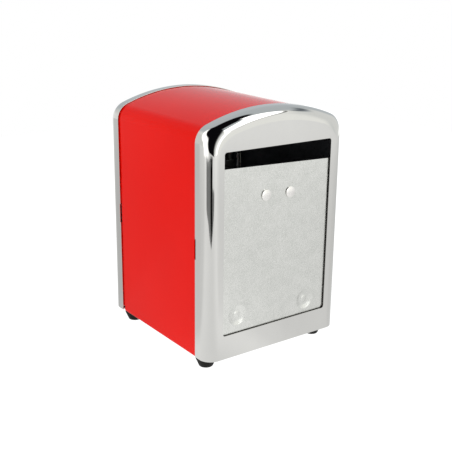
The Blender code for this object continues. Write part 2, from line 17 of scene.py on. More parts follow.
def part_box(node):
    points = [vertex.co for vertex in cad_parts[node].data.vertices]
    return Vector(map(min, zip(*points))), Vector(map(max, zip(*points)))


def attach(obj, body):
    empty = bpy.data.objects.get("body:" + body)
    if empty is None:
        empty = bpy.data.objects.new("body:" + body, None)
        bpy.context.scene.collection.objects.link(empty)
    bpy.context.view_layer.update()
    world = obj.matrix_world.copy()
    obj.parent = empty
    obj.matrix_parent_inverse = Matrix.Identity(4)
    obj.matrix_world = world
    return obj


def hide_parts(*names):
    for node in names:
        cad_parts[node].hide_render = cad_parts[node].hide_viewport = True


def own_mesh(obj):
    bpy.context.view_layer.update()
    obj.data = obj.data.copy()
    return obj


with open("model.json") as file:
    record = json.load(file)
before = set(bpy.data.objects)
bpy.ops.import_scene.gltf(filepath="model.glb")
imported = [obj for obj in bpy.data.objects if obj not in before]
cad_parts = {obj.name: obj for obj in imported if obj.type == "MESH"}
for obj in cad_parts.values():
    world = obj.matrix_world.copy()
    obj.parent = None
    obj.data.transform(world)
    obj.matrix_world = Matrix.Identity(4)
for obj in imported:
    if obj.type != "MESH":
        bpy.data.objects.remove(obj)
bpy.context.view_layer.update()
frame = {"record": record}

MM = 0.001
HALF_TURN = Matrix.Rotation(math.pi, 4, "Z")


def box_mm(node):
    """The lowest and highest corner of a CAD node, in millimetres."""
    low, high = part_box(node)
    return low / MM, high / MM


# ---------------------------------------------------------------- sizes read from the frame
FRAME_LOW, FRAME_HIGH = box_mm("front_faceplate")
SHELL_LOW, SHELL_HIGH = box_mm("casing_shell")
BASE_LOW, BASE_HIGH = box_mm("base_plate")
FOOT_LOW, FOOT_HIGH = box_mm("foot_front_left")
SCREW_LOW, SCREW_HIGH = box_mm("foot_screw_front_left")
NUT_LOW, NUT_HIGH = box_mm("foot_nut_front_left")
PLATE_LOW, PLATE_HIGH = box_mm("rear_pressure_plate")
STRAP_LOW, STRAP_HIGH = box_mm("rear_spring_strap")
SHOE_LOW, SHOE_HIGH = box_mm("rear_guide_shoe_left")
SHOE_RIVET_LOW, SHOE_RIVET_HIGH = box_mm("rear_shoe_rivet_left")
STRAP_RIVET_LOW, STRAP_RIVET_HIGH = box_mm("rear_strap_rivet_left")
STUD_LOW, STUD_HIGH = box_mm("rear_guide_stud_left")
ANCHOR_LOW, ANCHOR_HIGH = box_mm("spring_anchor")
ANCHOR_RIVET_LOW, ANCHOR_RIVET_HIGH = box_mm("anchor_rivet_right")
PEG_LOW, PEG_HIGH = box_mm("spring_peg")
SPRING_LOW, SPRING_HIGH = box_mm("rear_spring")

WIDTH = FRAME_HIGH.x - FRAME_LOW.x
HEIGHT = FRAME_HIGH.z
FACE_Y = FRAME_LOW.y
SKIRT_END = FRAME_HIGH.y
FRAME_BOTTOM = FRAME_LOW.z
PLATE_Y = -PLATE_HIGH.y
SPRING_Z = (SPRING_LOW.z + SPRING_HIGH.z) / 2
FOOT_X = -(FOOT_LOW.x + FOOT_HIGH.x) / 2
FOOT_Y = -(FOOT_LOW.y + FOOT_HIGH.y) / 2
GUIDE_X = -(SHOE_LOW.x + SHOE_HIGH.x) / 2
STUD_Y = (STUD_LOW.y + STUD_HIGH.y) / 2
ANCHOR_RIVET_X = (ANCHOR_RIVET_LOW.x + ANCHOR_RIVET_HIGH.x) / 2
ANCHOR_RIVET_Y = (ANCHOR_RIVET_LOW.y + ANCHOR_RIVET_HIGH.y) / 2
STRAP_RIVET_X = abs(STRAP_RIVET_LOW.x + STRAP_RIVET_HIGH.x) / 2
DIMPLE_Z = (SHOE_RIVET_LOW.z + SHOE_RIVET_HIGH.z) / 2

# ---------------------------------------------------------------- sizes that a box doesn't give
CROWN_RADIUS = 115.7
CORNER_RADIUS = 10.4
CROWN_STEPS = 40
CORNER_STEPS = 16
EDGE_RADIUS = 7.8
EDGE_STEPS = 18
FACE_CORNER_RADIUS = 16.0
FRAME_SHEET = 0.5
WINDOW_WIDTH = 75.4
WINDOW_BOTTOM = 21.8
WINDOW_TOP = 127.3
WINDOW_CORNER = 1.6
TAB_BOTTOM = 66.6
TAB_TOP = 78.4
TAB_REACH = 2.4
TAB_SETBACK = 0.7

ARCH_GAP = 0.12
SHELL_SHEET = 0.6
SHELL_FLANGE = 10.0
SHELL_BEND = 1.4
TAB_SLOT_PLAY = 0.6
FRONT_TAB_SLOT = (-43.3, -40.2)
REAR_TAB_SLOT = (41.5, 43.3)
NOTCH_LENGTH = 5.0
NOTCH_TOP = 10.2

PLATE_SHEET = 0.8
STRAP_SHEET = 0.8
PLATE_CORNER = 2.0
FRONT_SKEW = math.radians(1.9)
FRONT_SHIFT = 0.2
DIMPLE_RADIUS = 6.3
DIMPLE_FLOOR = 3.0
DIMPLE_DEPTH = 0.9
SHEET_GAP = 0.3
FLOOR_HALF = 0.65

SHOE_SHEET = 1.0
SHOE_BEND = 1.6
ANCHOR_SHEET = 1.2
ANCHOR_BEND = 2.0
SLOT_WIDTH = 4.2
PLATE_TRAVEL = 34.0
SPRING_WIRE = 1.0
SPRING_TURNS = 9
HOLE_RADIUS = 1.8

BODY_OF = {
    node: body for body, nodes in frame["record"]["behaviour"]["bodies"].items() for node in nodes
}


# ================================================================ materials
class Shading:
    """A node tree, with short names for the nodes that fill it."""

    def __init__(self, tree):
        self.tree = tree

    def node(self, kind, **settings):
        """A new node of the given kind, with its settings."""
        made = self.tree.nodes.new(kind)
        for name, value in settings.items():
            setattr(made, name, value)
        return made

    def feed(self, socket, value):
        """Link another socket to this one, or set it to a number or an RGB colour."""
        if isinstance(value, bpy.types.NodeSocket):
            self.tree.links.new(value, socket)
        else:
            socket.default_value = (*value, 1.0) if isinstance(value, tuple) else value

    def math(self, operation, first, second=0.0):
        """The result of one math operation on two values."""
        node = self.node("ShaderNodeMath", operation=operation)
        self.feed(node.inputs[0], first)
        self.feed(node.inputs[1], second)
        return node.outputs["Value"]

    def spread(self, value, low, high, start=0.3, stop=0.7, steps="LINEAR"):
        """A value from start to stop, spread over low to high."""
        node = self.node("ShaderNodeMapRange", interpolation_type=steps)
        ends = {"From Min": start, "From Max": stop, "To Min": low, "To Max": high}
        for name, end in {**ends, "Value": value}.items():
            self.feed(node.inputs[name], end)
        return node.outputs["Result"]

    def colours(self, factor, first, second):
        """The first colour where the factor is 0, and the second where it is 1."""
        mix = self.node("ShaderNodeMix", data_type="RGBA")
        for index, value in ((0, factor), (6, first), (7, second)):
            self.feed(mix.inputs[index], value)
        return mix.outputs[2]


class Finish(Shading):
    """A material with one Principled shader, whose looks follow the piece that it is on."""

    def __init__(self, name, **sockets):
        self.material = bpy.data.materials.new(name)
        self.material.use_nodes = True
        super().__init__(self.material.node_tree)
        self.shader = self.tree.nodes["Principled BSDF"]
        for socket, value in sockets.items():
            self.shader.inputs[socket.replace("_", " ").title().replace("Ior", "IOR")].default_value = value
        self.place = self.node("ShaderNodeTexCoord").outputs["Object"]

    def noise(self, size, detail=2.0, roughness=0.5, stretch=(1.0, 1.0, 1.0), distortion=0.0):
        """Noise whose patches are about as many millimetres wide as size says."""
        mapping = self.node("ShaderNodeMapping")
        mapping.inputs["Scale"].default_value = [1.0 / (size * MM * part) for part in stretch]
        self.feed(mapping.inputs["Vector"], self.place)
        noise = self.node("ShaderNodeTexNoise")
        settings = {"Scale": 1.0, "Detail": detail, "Roughness": roughness, "Distortion": distortion}
        for name, value in {**settings, "Vector": mapping.outputs["Vector"]}.items():
            self.feed(noise.inputs[name], value)
        return noise.outputs["Fac"]

    def drive(self, socket, value):
        """Let a value set one of the shader's sockets."""
        self.feed(self.shader.inputs[socket], value)

    def bump(self, height, depth):
        """Relief whose full height is depth, in millimetres."""
        bump = self.node("ShaderNodeBump")
        for name, value in {"Strength": 1.0, "Distance": depth * MM, "Height": height}.items():
            self.feed(bump.inputs[name], value)
        self.drive("Normal", bump.outputs["Normal"])


def red_enamel():
    """Stoved enamel, smooth and deep, with a slow drift in its colour and gloss."""
    warm = (1.0, 0.15, 0.05, 1.0)
    paint = Finish("red_enamel", metallic=0.0, ior=1.5, specular_ior_level=0.10, specular_tint=warm)
    drift = paint.spread(paint.noise(46.0, 3.0), 0.0, 1.0)
    paint.drive("Base Color", paint.colours(drift, (0.80, 0.0040, 0.0010), (0.765, 0.0037, 0.0009)))
    paint.drive("Roughness", paint.spread(paint.noise(12.0, 4.0), 0.08, 0.13))
    paint.bump(paint.noise(2.2, 1.0), 0.0006)
    return paint.material


def chrome():
    """Bright chrome over pressed steel: nearly a mirror, with faint smears and a slow ripple."""
    metal = Finish("chrome", metallic=1.0)
    smear = metal.noise(14.0, 5.0, 0.6, (1.0, 1.0, 1.6))
    smeared = metal.spread(smear, 0.0, 1.0)
    metal.drive("Base Color", metal.colours(smeared, (0.665, 0.663, 0.640), (0.645, 0.643, 0.622)))
    metal.drive("Roughness", metal.spread(metal.noise(2.2, 4.0, 0.65), 0.04, 0.065))
    metal.bump(metal.noise(9.0, 1.0), 0.0015)
    return metal.material


def galvanised():
    """Zinc coated sheet: satin, with a fine fibrous mottle."""
    zinc = Finish("galvanised", metallic=1.0)
    cloud = zinc.noise(5.0, 2.0, 0.5)
    fibre = zinc.noise(1.0, 6.0, 0.75, (1.0, 1.0, 1.4), 0.8)
    both = zinc.math("ADD", zinc.math("MULTIPLY", cloud, 0.25), zinc.math("MULTIPLY", fibre, 0.75))
    mottle = zinc.spread(both, 0.0, 1.0, 0.40, 0.6)
    zinc.drive("Base Color", zinc.colours(mottle, (0.635, 0.645, 0.615), (0.745, 0.75, 0.72)))
    zinc.drive("Roughness", zinc.spread(both, 0.30, 0.24, 0.40, 0.6))
    zinc.bump(fibre, 0.0006)
    return zinc.material


def zinc_steel():
    """Bright zinc plate on small parts, with a drawn grain and a trace of blue and yellow."""
    zinc = Finish("zinc_steel", metallic=1.0)
    hue = zinc.spread(zinc.noise(5.0, 2.0), 0.0, 1.0)
    zinc.drive("Base Color", zinc.colours(hue, (0.84, 0.825, 0.80), (0.89, 0.87, 0.84)))
    zinc.drive("Roughness", zinc.spread(zinc.noise(0.9, 4.0, 0.6, (1.0, 1.0, 5.0)), 0.2, 0.3))
    zinc.bump(zinc.noise(0.35, 2.0), 0.002)
    return zinc.material


def dark_steel():
    """Cold-rolled steel, left bare and oiled, with its colour darkened further as painted shade for the
    parts inside the casing.
    """
    steel = Finish("dark_steel", metallic=1.0)
    drift = steel.spread(steel.noise(9.0, 3.0), 0.0, 1.0)
    steel.drive("Base Color", steel.colours(drift, (0.085, 0.083, 0.080), (0.12, 0.118, 0.112)))
    steel.drive("Roughness", steel.spread(steel.noise(1.5, 4.0, 0.6, (1.0, 6.0, 1.0)), 0.34, 0.5))
    return steel.material


def spring_steel():
    """Oiled hard-drawn wire, dark, with lighter streaks along it."""
    wire = Finish("spring_steel", metallic=1.0)
    streak = wire.spread(wire.noise(1.4, 3.0), 0.0, 1.0)
    wire.drive("Base Color", wire.colours(streak, (0.13, 0.13, 0.135), (0.19, 0.187, 0.183)))
    wire.drive("Roughness", wire.spread(streak, 0.24, 0.38, 0.0, 1.0))
    return wire.material


def bare_inside():
    """The casing's unpainted inside: dark cold-rolled steel."""
    steel = Finish("bare_inside", metallic=0.4)
    drift = steel.spread(steel.noise(16.0, 4.0), 0.0, 1.0)
    steel.drive("Base Color", steel.colours(drift, (0.045, 0.047, 0.055), (0.060, 0.063, 0.072)))
    steel.drive("Roughness", steel.spread(steel.noise(2.0, 4.0, 0.6, (1.0, 8.0, 1.0)), 0.36, 0.5))
    return steel.material


def cut_edge_and_shade():
    """The raw edge round a faceplate's window, dull against the plated faces, and darkened further with
    painted shade so that it draws the dark shadow line along the window.
    """
    edge = Finish("cut_edge_and_shade", metallic=1.0)
    drift = edge.spread(edge.noise(1.2, 4.0, 0.6), 0.0, 1.0)
    edge.drive("Base Color", edge.colours(drift, (0.21, 0.205, 0.195), (0.27, 0.265, 0.25)))
    edge.drive("Roughness", edge.spread(drift, 0.28, 0.36, 0.0, 1.0))
    return edge.material


def rubber():
    """Moulded black rubber, dusty on its high spots."""
    black = Finish("rubber", metallic=0.0, ior=1.45, specular_ior_level=0.18)
    dust = black.spread(black.noise(1.6, 5.0, 0.65), 0.0, 1.0, 0.45, 0.8)
    black.drive("Base Color", black.colours(dust, (0.0045, 0.0042, 0.0028), (0.013, 0.012, 0.008)))
    black.drive("Roughness", black.spread(dust, 0.5, 0.72, 0.0, 1.0))
    black.bump(black.noise(0.25, 2.0), 0.012)
    return black.material


MATERIALS = {
    "red_enamel": red_enamel(),
    "chrome": chrome(),
    "galvanised": galvanised(),
    "zinc_steel": zinc_steel(),
    # Dark steel is bare oiled steel, darkened further with painted shade for the parts inside the casing.
    "dark_steel": dark_steel(),
    "spring_steel": spring_steel(),
    "rubber": rubber(),
}
INSIDE = bare_inside()
# The cut edge finish is raw steel, darkened further with painted shade.
CUT_EDGE_AND_SHADE = cut_edge_and_shade()


# ================================================================ outlines
def arc(centre, radius, start, stop, steps):
    """Points on an arc, in the plane of a profile. The angles are in degrees."""
    turns = [math.radians(start + (stop - start) * step / steps) for step in range(steps + 1)]
    return [(centre[0] + radius * math.cos(turn), centre[1] + radius * math.sin(turn)) for turn in turns]


def circle(centre, radius, steps=32):
    return arc(centre, radius, 0, 360, steps)[:-1]


def rounded_path(corners, radius, steps, closed=False):
    """A path through the given 2D corners, with an arc of the given radius at each of them."""
    count = len(corners)
    path = []
    for index, corner in enumerate(corners):
        here = Vector(corner)
        if not closed and index in (0, count - 1):
            path.append(tuple(here))
            continue
        back = (Vector(corners[index - 1]) - here).normalized()
        ahead = (Vector(corners[(index + 1) % count]) - here).normalized()
        half = back.angle(ahead) / 2
        centre = here + (back + ahead).normalized() * (radius / math.sin(half))
        spoke = here + back * (radius / math.tan(half)) - centre
        turn = spoke.angle_signed(here + ahead * (radius / math.tan(half)) - centre)
        for step in range(steps + 1):
            path.append(tuple(centre + Matrix.Rotation(-turn * step / steps, 2) @ spoke))
    return path


def rectangle(low, high, radius, steps=6):
    corners = [(low[0], low[1]), (high[0], low[1]), (high[0], high[1]), (low[0], high[1])]
    return rounded_path(corners, radius, steps, closed=True)


def arch_path(inset, bottom, corner=None):
    """The arch in XZ, set in from the faceplates' outer size, from its left foot to its right one.

    Its corners follow the outer ones, unless they have a radius of their own.
    """
    if corner is None:
        corner = CORNER_RADIUS - inset
    crown = CROWN_RADIUS - inset
    corner_x = WIDTH / 2 - inset - corner
    crown_z = HEIGHT - CROWN_RADIUS
    corner_z = crown_z + math.sqrt((crown - corner) ** 2 - corner_x**2)
    lean = math.degrees(math.atan2(corner_x, corner_z - crown_z))
    right = [(corner_x + corner, bottom)]
    right += arc((corner_x, corner_z), corner, 0, 90 - lean, CORNER_STEPS)
    right += arc((0, crown_z), crown, 90 - lean, 90, CROWN_STEPS)[1:]
    left = [(-x, z) for x, z in right[:-1]]
    return left + right[::-1]


# ================================================================ meshes
def facing(bm, pivot):
    """Turn an open surface's faces so that they look away from a point, in millimetres."""
    bmesh.ops.recalc_face_normals(bm, faces=bm.faces)
    away = 0.0
    for face in bm.faces:
        outward = face.calc_center_median() - Vector(pivot) * MM
        away += face.normal.dot(outward) * face.calc_area()
    if away < 0:
        bmesh.ops.reverse_faces(bm, faces=bm.faces)


def skin(bm, rings, closed=False):
    """Faces between rings of points that have the same number of points each."""
    rows = [[bm.verts.new(Vector(point) * MM) for point in ring] for ring in rings]
    for first, second in zip(rows, rows[1:]):
        for index in range(len(first) if closed else len(first) - 1):
            ahead = (index + 1) % len(first)
            bm.faces.new((first[index], first[ahead], second[ahead], second[index]))
    return rows


def fill(bm, loops):
    """One flat region between closed loops of vertices, the first of which is its outline."""
    edges = []
    for loop in loops:
        for first, second in zip(loop, loop[1:] + loop[:1]):
            edges.append(bm.edges.get((first, second)) or bm.edges.new((first, second)))
    bmesh.ops.triangle_fill(bm, edges=edges, use_beauty=True, use_dissolve=False)


def new_piece(name, bm, *materials):
    """An object made of a finished mesh, linked into the scene."""
    data = bpy.data.meshes.new(name)
    bm.to_mesh(data)
    bm.free()
    for material in materials:
        data.materials.append(material)
    piece = bpy.data.objects.new(name, data)
    bpy.context.scene.collection.objects.link(piece)
    return piece


def modify(piece, kind, **settings):
    """Add a modifier of the given kind, with its settings."""
    change = piece.modifiers.new(kind.lower(), kind)
    for name, value in settings.items():
        setattr(change, name, value)


def bake_modifiers(piece):
    """Swap a piece's mesh for what its modifiers make of it."""
    evaluated = piece.evaluated_get(bpy.context.evaluated_depsgraph_get())
    made = bpy.data.meshes.new_from_object(evaluated)
    piece.modifiers.clear()
    before, piece.data = piece.data, made
    bpy.data.meshes.remove(before)


def thicken(piece, thickness, **settings):
    """Give an open surface its sheet, behind the side that its faces look to."""
    modify(piece, "SOLIDIFY", thickness=thickness * MM, offset=-1.0, use_even_offset=True, **settings)
    bake_modifiers(piece)


def cut(piece, bm, operation="DIFFERENCE"):
    """Cut a closed shape from a piece, or join it on."""
    tool = new_piece(piece.name + "_tool", bm)
    modify(piece, "BOOLEAN", operation=operation, object=tool)
    bake_modifiers(piece)
    bpy.data.objects.remove(tool, do_unlink=True)


def soften(piece, radius=0.12):
    """Round a piece's sharp edges and give it clean smooth shading."""
    if radius:
        limits = {"limit_method": "ANGLE", "angle_limit": math.radians(40)}
        modify(piece, "BEVEL", width=radius * MM, segments=2, **limits)
        bake_modifiers(piece)
    piece.data.shade_smooth()
    piece.data.set_sharp_from_angle(angle=math.radians(32))
    modify(piece, "WEIGHTED_NORMAL", keep_sharp=True)


def dress(piece, node, turned=False):
    """Let a finished piece stand for its CAD node, and ride on the same body."""
    if turned:
        piece.data.transform(HALF_TURN)
    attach(piece, BODY_OF[node])
    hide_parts(node)


def box_in(bm, low, high):
    """A box between two corners."""
    first, last = Vector(low) * MM, Vector(high) * MM
    scale = Matrix.Diagonal((*(last - first), 1.0))
    bmesh.ops.create_cube(bm, size=1.0, matrix=Matrix.Translation((first + last) / 2) @ scale)


def rod_in(bm, start, end, radius, sides=24):
    """A round or many-sided rod between two points."""
    first, last = Vector(start) * MM, Vector(end) * MM
    turn = Vector((0, 0, 1)).rotation_difference(last - first).to_matrix().to_4x4()
    bmesh.ops.create_cone(
        bm,
        cap_ends=True,
        segments=sides,
        radius1=radius * MM,
        radius2=radius * MM,
        depth=(last - first).length,
        matrix=Matrix.Translation((first + last) / 2) @ turn,
    )


def lathe_in(bm, profile, steps, origin, axis=(0, 0, 1)):
    """A closed turned body. Its profile is (radius, height) pairs; a radius of 0 is a pole."""
    turn = Vector((0, 0, 1)).rotation_difference(Vector(axis)).to_matrix()
    rings = []
    for radius, height in profile:
        count = 1 if radius == 0 else steps
        spin = [2 * math.pi * step / steps for step in range(count)]
        points = [Vector((radius * math.cos(angle), radius * math.sin(angle), height)) for angle in spin]
        rings.append([bm.verts.new((turn @ point + Vector(origin)) * MM) for point in points])
    if profile[0][0] > 0:
        rings.append(rings[0])
    for first, second in zip(rings, rings[1:]):
        for index in range(steps):
            ahead = (index + 1) % steps
            corners = [first[index % len(first)], first[ahead % len(first)]]
            corners += [second[ahead % len(second)], second[index % len(second)]]
            unique = list(dict.fromkeys(corners))
            if len(unique) > 2:
                bm.faces.new(unique)
    bmesh.ops.recalc_face_normals(bm, faces=bm.faces)


def turned_piece(name, profile, steps, origin, material, axis=(0, 0, 1)):
    """A turned part whose profile stands on its origin, as in lathe_in."""
    bm = bmesh.new()
    lathe_in(bm, profile, steps, origin, axis)
    return new_piece(name, bm, MATERIALS[material])


def flat_sheet(name, outline, holes, y, thickness, material, bosses=()):
    """A flat sheet in XZ whose front is at y and faces -Y, with round holes.

    Each boss is (centre, rings), where rings are (radius, depth) pairs pressed into the front.
    """
    bm = bmesh.new()
    loops = [[bm.verts.new(Vector((x, y, z)) * MM) for x, z in outline]]
    for centre, radius in holes:
        loops.append([bm.verts.new(Vector((x, y, z)) * MM) for x, z in circle(centre, radius)])
    for centre, rings in bosses:
        pressed = [[(x, y + depth, z) for x, z in circle(centre, radius, 48)] for radius, depth in rings]
        loops.append(skin(bm, pressed, closed=True)[0])
    fill(bm, loops)
    facing(bm, (0, y + 500, SPRING_Z))
    piece = new_piece(name, bm, material)
    thicken(piece, thickness)
    return piece


def bent_strip(name, path, across, thickness, outward, *materials):
    """A strip bent along a path of 3D points, and as wide as the vector across."""
    bm = bmesh.new()
    half = Vector(across) / 2
    skin(bm, [[Vector(point) + side * half for point in path] for side in (-1, 1)])
    facing(bm, outward)
    piece = new_piece(name, bm, *materials)
    thicken(piece, thickness, material_offset=len(materials) - 1)
    return piece


# ================================================================ casing
def make_shell():
    """The bent sheet of both walls and the arch, with its flanges, tab slots and corner notches."""
    half = SHELL_HIGH.x
    inset = FRAME_SHEET + ARCH_GAP
    squeeze = half / (WIDTH / 2 - inset)
    arch = arch_path(inset, SHELL_LOW.z + SHELL_BEND + SHELL_SHEET)
    over = [(x * squeeze, z) for x, z in arch]
    right = rounded_path([(half - SHELL_FLANGE, SHELL_LOW.z), (half, SHELL_LOW.z), over[-1]], SHELL_BEND, 8)
    left = [(-x, z) for x, z in right]
    path = [(x, 0.0, z) for x, z in left[:-1] + over + right[-2::-1]]
    length = SHELL_HIGH.y - SHELL_LOW.y
    middle = (0, 0, HEIGHT / 2)
    finishes = (MATERIALS["red_enamel"], INSIDE)
    shell = bent_strip("casing_shell_sheet", path, (0, length, 0), SHELL_SHEET, middle, *finishes)
    cuts = bmesh.new()
    for side in (-1, 1):
        first, last = sorted((side * (half - SHELL_SHEET - 1), side * (half + 1)))
        for start, end in (FRONT_TAB_SLOT, REAR_TAB_SLOT):
            low = (first, start, TAB_BOTTOM - TAB_SLOT_PLAY)
            box_in(cuts, low, (last, end, TAB_TOP + TAB_SLOT_PLAY))
        for end in (-length / 2, length / 2):
            low = (first, end - NOTCH_LENGTH, SHELL_LOW.z - 1)
            box_in(cuts, low, (last, end + NOTCH_LENGTH, NOTCH_TOP))
    cut(shell, cuts)
    holes = bmesh.new()
    for x, y, _ in foot_places():
        rod_in(holes, (x, y, SHELL_LOW.z - 1), (x, y, BASE_LOW.z - 0.01), HOLE_RADIUS)
    cut(shell, holes)
    soften(shell, 0.1)
    dress(shell, "casing_shell")


def foot_places():
    """Where each foot stands, and the last words of its name."""
    for side, side_name in ((-1, "left"), (1, "right")):
        for end, end_name in ((-1, "front"), (1, "rear")):
            yield side * FOOT_X, end * FOOT_Y, end_name + "_" + side_name


def make_base():
    """The plate inside the bottom, with the slots that guide the followers' studs."""
    low, high = BASE_LOW, BASE_HIGH
    bm = bmesh.new()
    loops = [rectangle(low.xy, high.xy, 1.0)]
    loops += [circle((x, y), HOLE_RADIUS) for x, y, _ in foot_places()]
    loops += [circle((side * ANCHOR_RIVET_X, ANCHOR_RIVET_Y), HOLE_RADIUS) for side in (-1, 1)]
    for side in (-1, 1):
        for end in (-1, 1):
            near = end * STUD_Y
            far = end * (STUD_Y - PLATE_TRAVEL)
            half = SLOT_WIDTH / 2
            corner = (side * GUIDE_X - half, min(near, far) - half)
            opposite = (side * GUIDE_X + half, max(near, far) + half)
            loops.append(rectangle(corner, opposite, half * 0.98, 10))
    rings = [[bm.verts.new(Vector((x, y, high.z)) * MM) for x, y in loop] for loop in loops]
    fill(bm, rings)
    facing(bm, (0, 0, -500))
    base = new_piece("base_plate_sheet", bm, MATERIALS["dark_steel"])
    thicken(base, high.z - low.z)
    soften(base)
    dress(base, "base_plate")


def make_feet():
    """Four tapered rubber feet, each with a cross-head screw and a hexagon nut."""
    top = FOOT_HIGH.z
    wide = (FOOT_HIGH.x - FOOT_LOW.x) / 2
    foot = arc((wide - 0.4, top - 0.4), 0.4, 90, 0, 4)
    foot += arc((wide - 1.5, top - 0.9), 1.5, 0, -22, 4)
    foot += arc((3.4, 0.9), 0.9, -22, -90, 6)
    foot += [(2.9, 0.0), (2.6, 0.25), (2.6, 2.35), (2.4, 2.6), (HOLE_RADIUS, 2.6), (HOLE_RADIUS, top)]
    head = SCREW_LOW.z
    screw = [(0.0, head), (1.3, head)]
    screw += arc((1.65, head + 0.6), 0.6, -90, 0, 5)
    screw += [(2.25, head + 1.4), (1.4, head + 1.4), (1.4, NUT_LOW.z)]
    thread_top = SCREW_HIGH.z - 0.4
    turns = int((thread_top - NUT_LOW.z) / 0.5)
    for turn in range(turns):
        start = NUT_LOW.z + 0.5 * turn
        screw += [(1.4, start + 0.1), (1.2, start + 0.3), (1.4, start + 0.48)]
    screw += [(1.15, SCREW_HIGH.z), (0.0, SCREW_HIGH.z)]
    for x, y, place in foot_places():
        piece = turned_piece("foot_moulding_" + place, foot, 56, (x, y, 0), "rubber")
        soften(piece, 0)
        dress(piece, "foot_" + place)

        piece = turned_piece("foot_screw_turned_" + place, screw, 28, (x, y, 0), "zinc_steel")
        for across, along in ((1.3, 0.3), (0.3, 1.3)):
            cross = bmesh.new()
            box_in(cross, (x - across, y - along, head - 0.5), (x + across, y + along, head + 0.7))
            cut(piece, cross)
        soften(piece, 0)
        dress(piece, "foot_screw_" + place)

        bm = bmesh.new()
        wide_nut = (NUT_HIGH.x - NUT_LOW.x) / 2
        rod_in(bm, (x, y, NUT_LOW.z), (x, y, NUT_HIGH.z), wide_nut, 6)
        piece = new_piece("foot_nut_hex_" + place, bm, MATERIALS["zinc_steel"])
        low, high = NUT_LOW.z, NUT_HIGH.z
        chamfer = [(0, low - 0.01), (wide_nut - 0.5, low - 0.01), (wide_nut + 0.05, low + 0.35)]
        chamfer += [(wide_nut + 0.05, high - 0.35), (wide_nut - 0.5, high + 0.01), (0, high + 0.01)]
        crown = bmesh.new()
        lathe_in(crown, chamfer, 48, (x, y, 0))
        cut(piece, crown, "INTERSECT")
        bore = HOLE_RADIUS - 0.05
        thread = [(0, low - 1), (bore + 1.3, low - 1), (bore, low + 0.3)]
        thread += [(bore, high - 0.3), (bore + 1.3, high + 1), (0, high + 1)]
        hole = bmesh.new()
        lathe_in(hole, thread, 32, (x, y, 0))
        cut(piece, hole)
        soften(piece, 0.05)
        dress(piece, "foot_nut_" + place)


def rivet_profile(radius, height, shank, length, tail, tail_height, rim=0.28):
    """A domed head that stands on 0, its shank, and the tail that is set over at the far end."""
    edge = rim * height
    sphere = (radius**2 + (height - edge) ** 2) / (2 * (height - edge))
    lean = math.degrees(math.asin(radius / sphere))
    profile = [(0.0, height)]
    profile += arc((0, height - sphere), sphere, 90, 90 - lean, 10)[1:]
    profile += [(radius, edge * 0.35), (radius - edge * 0.3, 0.0), (shank, 0.0), (shank, -length)]
    profile += [(tail, -length)]
    profile += arc((tail - tail_height * 0.8, -length - tail_height * 0.2), tail_height * 0.8, 0, -90, 4)
    profile += [(0.0, -length - tail_height)]
    return profile


def make_anchor():
    """The bracket in the middle, its two rivets, and the peg that centres both springs."""
    low, high = ANCHOR_LOW, ANCHOR_HIGH
    corners = [(high.y, low.z), (low.y, low.z), (low.y, high.z)]
    path = [(0.0, y, z) for y, z in rounded_path(corners, ANCHOR_BEND, 8)]
    wide = (high.x - low.x, 0, 0)
    # The anchor's dark steel is darkened further with painted shade.
    steel = MATERIALS["dark_steel"]
    anchor = bent_strip("spring_anchor_strip", path, wide, ANCHOR_SHEET, (0, 40, 60), steel)
    holes = bmesh.new()
    rod_in(holes, (0, -3, SPRING_Z), (0, 3, SPRING_Z), (PEG_HIGH.x - PEG_LOW.x) / 2 + 0.4)
    for side in (-1, 1):
        x = side * ANCHOR_RIVET_X
        rod_in(holes, (x, ANCHOR_RIVET_Y, low.z - 1), (x, ANCHOR_RIVET_Y, low.z + 3), HOLE_RADIUS)
    cut(anchor, holes)
    soften(anchor, 0.15)
    dress(anchor, "spring_anchor")
    stand = low.z + ANCHOR_SHEET + SHEET_GAP
    tail = 0.9
    length = stand - ANCHOR_RIVET_LOW.z - tail
    rivet = rivet_profile(2.6, ANCHOR_RIVET_HIGH.z - stand, 1.4, length, 2.4, tail)
    for side, side_name in ((-1, "left"), (1, "right")):
        place = (side * ANCHOR_RIVET_X, ANCHOR_RIVET_Y, stand)
        piece = turned_piece("anchor_rivet_domed_" + side_name, rivet, 40, place, "zinc_steel")
        soften(piece, 0)
        dress(piece, "anchor_rivet_" + side_name)
    half = PEG_HIGH.y
    radius = PEG_HIGH.x
    peg = [(0.0, half)]
    peg += arc((radius - 0.6, half - 0.6), 0.6, 90, 0, 5)
    peg += arc((radius - 0.6, 0.6 - half), 0.6, 0, -90, 5)
    peg += [(0.0, -half)]
    piece = turned_piece("spring_peg_turned", peg, 40, (0, 0, SPRING_Z), "zinc_steel", (0, -1, 0))
    soften(piece, 0)
    dress(piece, "spring_peg")


